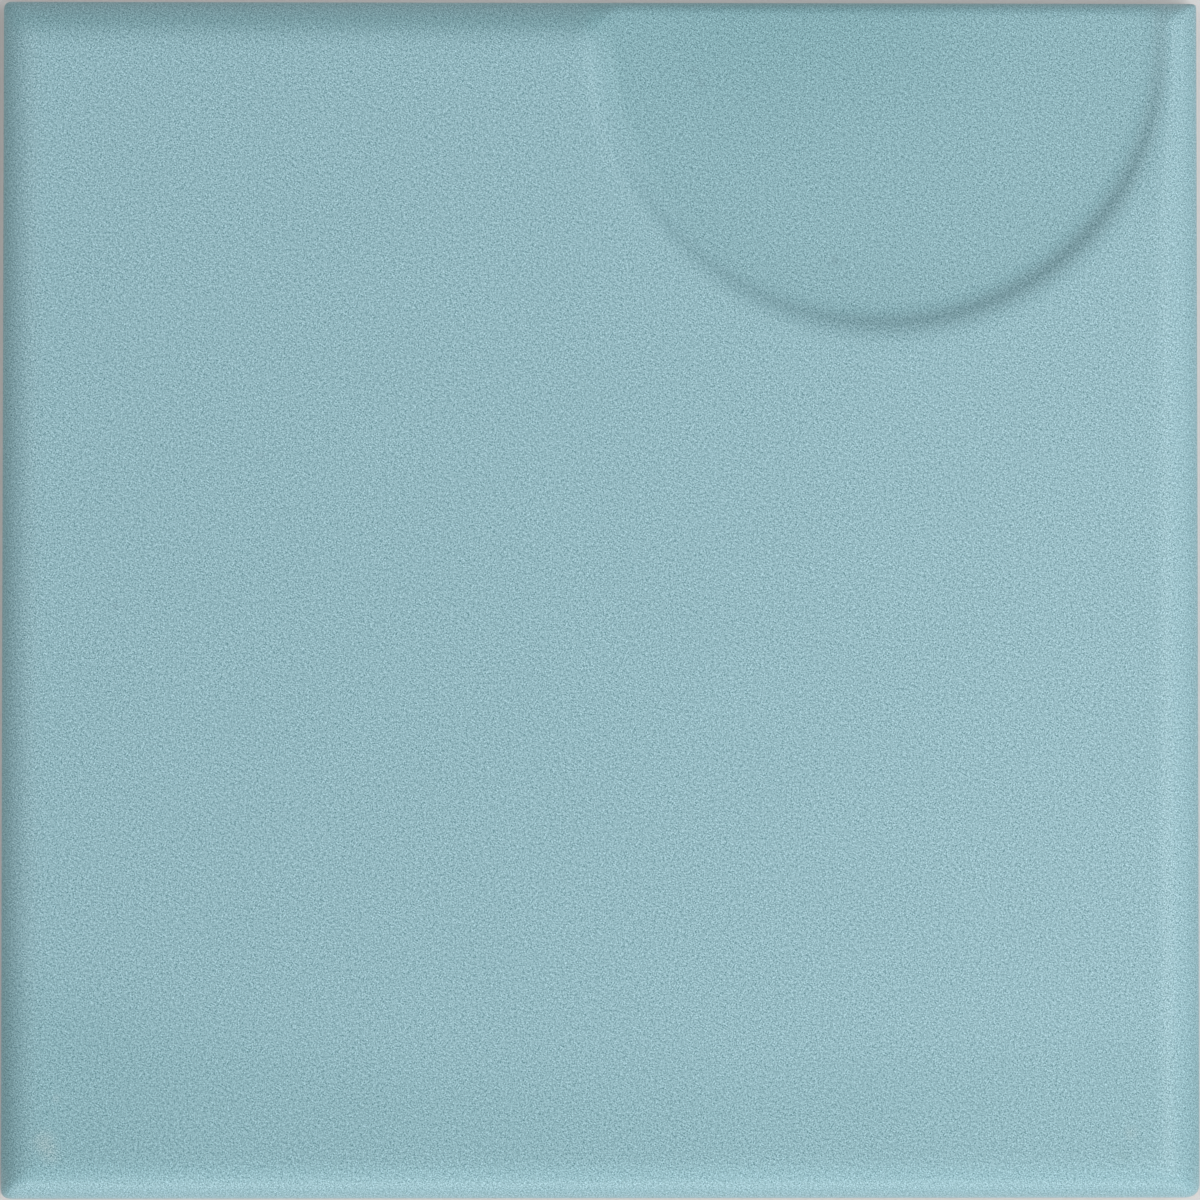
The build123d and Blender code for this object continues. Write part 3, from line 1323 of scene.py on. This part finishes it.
@dataclass(frozen=True)
class SatinGlaze(FiredFinish):
    """The pale turquoise satin glaze, darker where shade is painted on it and on the recess's floor."""

    name: str = "satin_glaze"
    colour: Colour = (0.233, 0.400, 0.446)
    # darker colour for the painted shade and the darker recess floor
    shade_and_floor_colour: Colour = (0.181, 0.349, 0.386)
    grain_size: float = 0.15 * MM
    grain_contrast: Colour = (0.98, 0.70, 0.68)
    relief_size: float = 0.36 * MM
    mottle_size: float = 14.0 * MM
    mottle_contrast: Colour = (0.013, 0.010, 0.010)
    roughness: Span = (0.36, 0.44)
    bump: float = 0.004 * MM
    steep_specular: float = 0.12
    flecks: tuple[Fleck, ...] = (
        Fleck((-69.2 * MM, -67.6 * MM, 8.9 * MM), 2.2 * MM, FleckTint.CREAM, 0.12),
        Fleck((-68.4 * MM, -69.2 * MM, 8.8 * MM), 2.0 * MM, FleckTint.CREAM, 0.08),
        Fleck((-67.7 * MM, -62.2 * MM, 8.9 * MM), 0.9 * MM, FleckTint.CHALK, 0.08),
        Fleck((65.9 * MM, -66.6 * MM, 8.8 * MM), 1.5 * MM, FleckTint.RUST, 0.06),
        Fleck((64.8 * MM, -69.4 * MM, 8.8 * MM), 1.6 * MM, FleckTint.MOSS, 0.10),
        Fleck((11.6 * MM, 66.2 * MM, 6.9 * MM), 0.9 * MM, FleckTint.INK, 0.30),
        Fleck((12.5 * MM, 64.5 * MM, 6.9 * MM), 1.1 * MM, FleckTint.INK, 0.26),
        Fleck((17.7 * MM, 62.5 * MM, 6.9 * MM), 0.7 * MM, FleckTint.INK, 0.30),
        Fleck((29.2 * MM, 42.3 * MM, 6.9 * MM), 1.1 * MM, FleckTint.INK, 0.22),
        Fleck((-42.4 * MM, 17.7 * MM, 9.0 * MM), 0.8 * MM, FleckTint.SLATE, 0.18),
        Fleck((-60.5 * MM, -1.1 * MM, 9.0 * MM), 0.8 * MM, FleckTint.SLATE, 0.22),
    )

    def tint(self, board: NodeBoard, place: Socket, speckle: Socket) -> Socket:
        """Mix the plain colour and the darker one by the share of painted shade and darker recess floor, and
        lay the flecks over them.

        Args:
            board: where the nodes go.
            place: object coordinates.
            speckle: the grain, which breaks the flecks up.

        Returns:
            The colour.
        """
        # share of painted shade and darker recess floor, read from the mesh
        depth = board.add("ShaderNodeAttribute", attribute_name=Attribute.SHADE_AND_FLOOR_DARKENING.value)
        colour = board.mix(depth.outputs["Fac"], self.colour, self.shade_and_floor_colour)
        for fleck in self.flecks:
            spot = board.add("ShaderNodeGroup", node_tree=FleckMask.group())
            spot.inputs[GroupSocket.CENTRE.value].default_value = fleck.centre
            spot.inputs[GroupSocket.REACH.value].default_value = fleck.reach
            spot.inputs[GroupSocket.STRENGTH.value].default_value = fleck.strength
            board.join(place, spot.inputs[GroupSocket.VECTOR.value])
            board.join(speckle, spot.inputs[GroupSocket.GRAIN.value])
            colour = board.mix(spot.outputs[GroupSocket.MASK.value], colour, fleck.tint.value)
        return colour

    def grain_place(self, board: NodeBoard, place: Socket) -> Socket:
        """Coordinates that the grain is taken on: the plan of the glaze, let down over the edges."""
        plan = board.add("ShaderNodeAttribute", attribute_name=Attribute.GLAZE_PLAN.value)
        return plan.outputs["Vector"]

    def shine(self, board: NodeBoard, target: Socket) -> None:
        """Let the glaze mirror less on the steep part of an edge, but not on the lit bottom edge: painted
        shade in its reflection.

        Args:
            board: where the nodes go.
            target: the shader's socket for the strength of its mirroring.
        """
        steep = board.add("ShaderNodeAttribute", attribute_name=Attribute.STEEP_EDGE.value)
        mirroring = (self.specular, self.steep_specular)
        board.join(board.spread(steep.outputs["Fac"], wanted=mirroring), target)


@dataclass(frozen=True)
class BareBiscuit(FiredFinish):
    """The unglazed fired body on the lower sides and the back: chalky and warm white."""

    name: str = "bare_biscuit"
    colour: Colour = (0.66, 0.59, 0.50)
    grain_size: float = 0.40 * MM
    grain_contrast: Colour = (0.10, 0.10, 0.10)
    relief_size: float = 0.45 * MM
    mottle_size: float = 9.0 * MM
    mottle_contrast: Colour = (0.04, 0.04, 0.04)
    roughness: Span = (0.82, 0.95)
    bump: float = 0.05 * MM
    specular: float = 0.25


@dataclass(frozen=True)
class Lamp:
    """A soft lamp that faces the tile.

    Args:
        name: what it does.
        azimuth: direction it stands in, in degrees anticlockwise from +X.
        elevation: height above the floor's plane, in degrees, negative below it.
        distance: metres from the tile.
        width: metres across, level with the floor.
        height: metres from its lower to its upper edge.
        radiance: brightness of its face, where 1 is white.
    """

    name: str
    azimuth: float
    elevation: float
    distance: float
    width: float
    height: float
    radiance: float

    def build(self) -> bpy.types.Object:
        """Hang the lamp and turn it to the tile.

        Returns:
            The lamp.
        """
        turn = math.radians(self.azimuth)
        rise = math.radians(self.elevation)
        away = Vector((math.cos(turn) * math.cos(rise), math.sin(turn) * math.cos(rise), math.sin(rise)))
        level = Vector((-math.sin(turn), math.cos(turn), 0.0))
        data = bpy.data.lights.new(self.name, "AREA")
        data.shape = "RECTANGLE"
        data.size = self.width
        data.size_y = self.height
        data.energy = self.radiance * math.pi * self.width * self.height
        lamp = bpy.data.objects.new(self.name, data)
        lamp.visible_camera = False
        lamp.location = away * self.distance
        lamp.rotation_euler = Matrix((level, away.cross(level), away)).transposed().to_euler()
        bpy.context.scene.collection.objects.link(lamp)
        return lamp


@dataclass(frozen=True)
class Studio:
    """The pale floor, the soft lamps and the even light of the room.

    Args:
        floor_half: half of the floor's side.
        floor_open: half of the side of the opening under the tile.
        floor_colour: colour of the floor.
        room: strength of the even light.
        lamps: the lamps.
    """

    floor_half: float = 4.0
    floor_open: float = 74.3 * MM
    floor_colour: Colour = (0.60, 0.60, 0.60)
    room: float = 0.38
    lamps: tuple[Lamp, ...] = (
        Lamp("key_lamp", -36.0, 52.0, 1.5, 1.2, 0.9, 2.85),
        Lamp("side_lamp", 0.0, 65.0, 0.7, 0.5, 0.35, 1.9),
        Lamp("front_low_lamp", -93.0, 8.0, 2.5, 3.6, 0.7, 3.2),
        Lamp("front_high_lamp", -90.0, 35.0, 2.0, 2.0, 1.2, 0.76),
        Lamp("right_lamp", 10.0, 20.0, 1.5, 1.0, 1.0, 1.13),
        Lamp("left_lamp", 170.0, 55.0, 1.5, 1.0, 1.0, 1.08),
        Lamp("back_lamp", 120.0, 40.0, 1.8, 1.6, 1.0, 0.47),
        Lamp("under_lamp", 150.0, -30.0, 1.5, 1.0, 0.8, 4.0),
    )

    def floor(self) -> bpy.types.Object:
        """Lay the floor, which is seen from above only.

        It is the strip between two squares, open under the middle of the tile, so that the back is
        lit when it is seen from below.

        Returns:
            The floor.
        """
        square = np.array([(-1.0, -1.0, 0.0), (1.0, -1.0, 0.0), (1.0, 1.0, 0.0), (-1.0, 1.0, 0.0)])
        corners = np.concatenate([square * self.floor_open, square * self.floor_half])
        mesh = bpy.data.meshes.new("floor")
        mesh.from_pydata(corners.tolist(), [], ring_quads(2, len(square)).tolist())
        floor = bpy.data.objects.new("floor", mesh)
        bpy.context.scene.collection.objects.link(floor)
        material = bpy.data.materials.new("pale_floor")
        material.use_nodes = True
        board = NodeBoard(material.node_tree)
        paint = board.add("ShaderNodeBsdfDiffuse")
        paint.inputs["Color"].default_value = (*self.floor_colour, 1.0)
        clear = board.add("ShaderNodeBsdfTransparent")
        facing = board.add("ShaderNodeNewGeometry")
        sided = board.add("ShaderNodeMixShader")
        output = board.add("ShaderNodeOutputMaterial")
        board.join(facing.outputs["Backfacing"], sided.inputs["Fac"])
        board.join(paint.outputs["BSDF"], sided.inputs[1])
        board.join(clear.outputs["BSDF"], sided.inputs[2])
        board.join(sided.outputs["Shader"], output.inputs["Surface"])
        mesh.materials.append(material)
        return floor

    def light(self) -> None:
        """Hang the lamps and light the room evenly."""
        for lamp in self.lamps:
            lamp.build()
        world = bpy.data.worlds.new("room")
        bpy.context.scene.world = world
        world.use_nodes = True
        board = NodeBoard(world.node_tree)
        room = board.add("ShaderNodeBackground")
        room.inputs["Color"].default_value = (1.0, 1.0, 1.0, 1.0)
        room.inputs["Strength"].default_value = self.room
        output = board.add("ShaderNodeOutputWorld")
        board.join(room.outputs["Background"], output.inputs["Surface"])


@dataclass(frozen=True)
class Viewpoint:
    """The camera above the tile, leaning a little towards its lower left.

    Args:
        distance: metres from the middle of the tile.
        lean_down: lean towards the bottom edge, in degrees.
        lean_left: lean towards the left edge, in degrees.
        sensor: width of the camera's sensor, in millimetres.
        frame_share: share of the picture's width that the tile takes at its mid height.
        aim_x: how far across from the tile's middle the camera points.
        aim_y: how far up from it.
    """

    distance: float = 0.75
    lean_down: float = 1.6
    lean_left: float = 0.9
    sensor: float = 36.0
    frame_share: float = 0.9973
    aim_x: float = -0.13 * MM
    aim_y: float = -0.15 * MM

    def camera(self, tile_low: Vector, tile_high: Vector) -> bpy.types.Object:
        """Place the camera so that the tile nearly fills the square frame.

        Args:
            tile_low: lowest corner of the tile.
            tile_high: highest corner of the tile.

        Returns:
            The camera.
        """
        down = math.radians(self.lean_down)
        left = math.radians(self.lean_left)
        away = Vector((-math.sin(left), -math.sin(down), math.cos(down) * math.cos(left))).normalized()
        target = (tile_low + tile_high) / 2.0 + Vector((self.aim_x, self.aim_y, 0.0))
        data = bpy.data.cameras.new("camera")
        data.sensor_width = self.sensor
        data.lens = self.sensor * self.distance * self.frame_share / (tile_high.x - tile_low.x)
        camera = bpy.data.objects.new("camera", data)
        camera.location = target + away * self.distance
        right = Vector((0.0, 1.0, 0.0)).cross(away).normalized()
        camera.rotation_euler = Matrix((right, away.cross(right), away)).transposed().to_euler()
        bpy.context.scene.collection.objects.link(camera)
        bpy.context.scene.camera = camera
        return camera


def main() -> None:
    """Build the tile, the studio and the view, and note the tile's faces and the number of lamps."""
    logging.basicConfig(level=logging.INFO, format="%(name)s: %(message)s")
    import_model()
    low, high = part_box("tile")
    maker = GlazedTile(side=high.x - low.x, thickness=high.z - low.z)
    tile = maker.build()
    maker.dress(tile, SatinGlaze(), BareBiscuit())
    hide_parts("tile")
    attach(tile, "root")
    LOG.info("%s: %d faces", tile.name, len(tile.data.polygons))

    studio = Studio()
    studio.floor()
    studio.light()
    LOG.info("studio: %d lamps", len(studio.lamps))
    Viewpoint().camera(low, high)
    bpy.context.scene.view_settings.view_transform = "Standard"


if __name__ == "__main__":
    main()
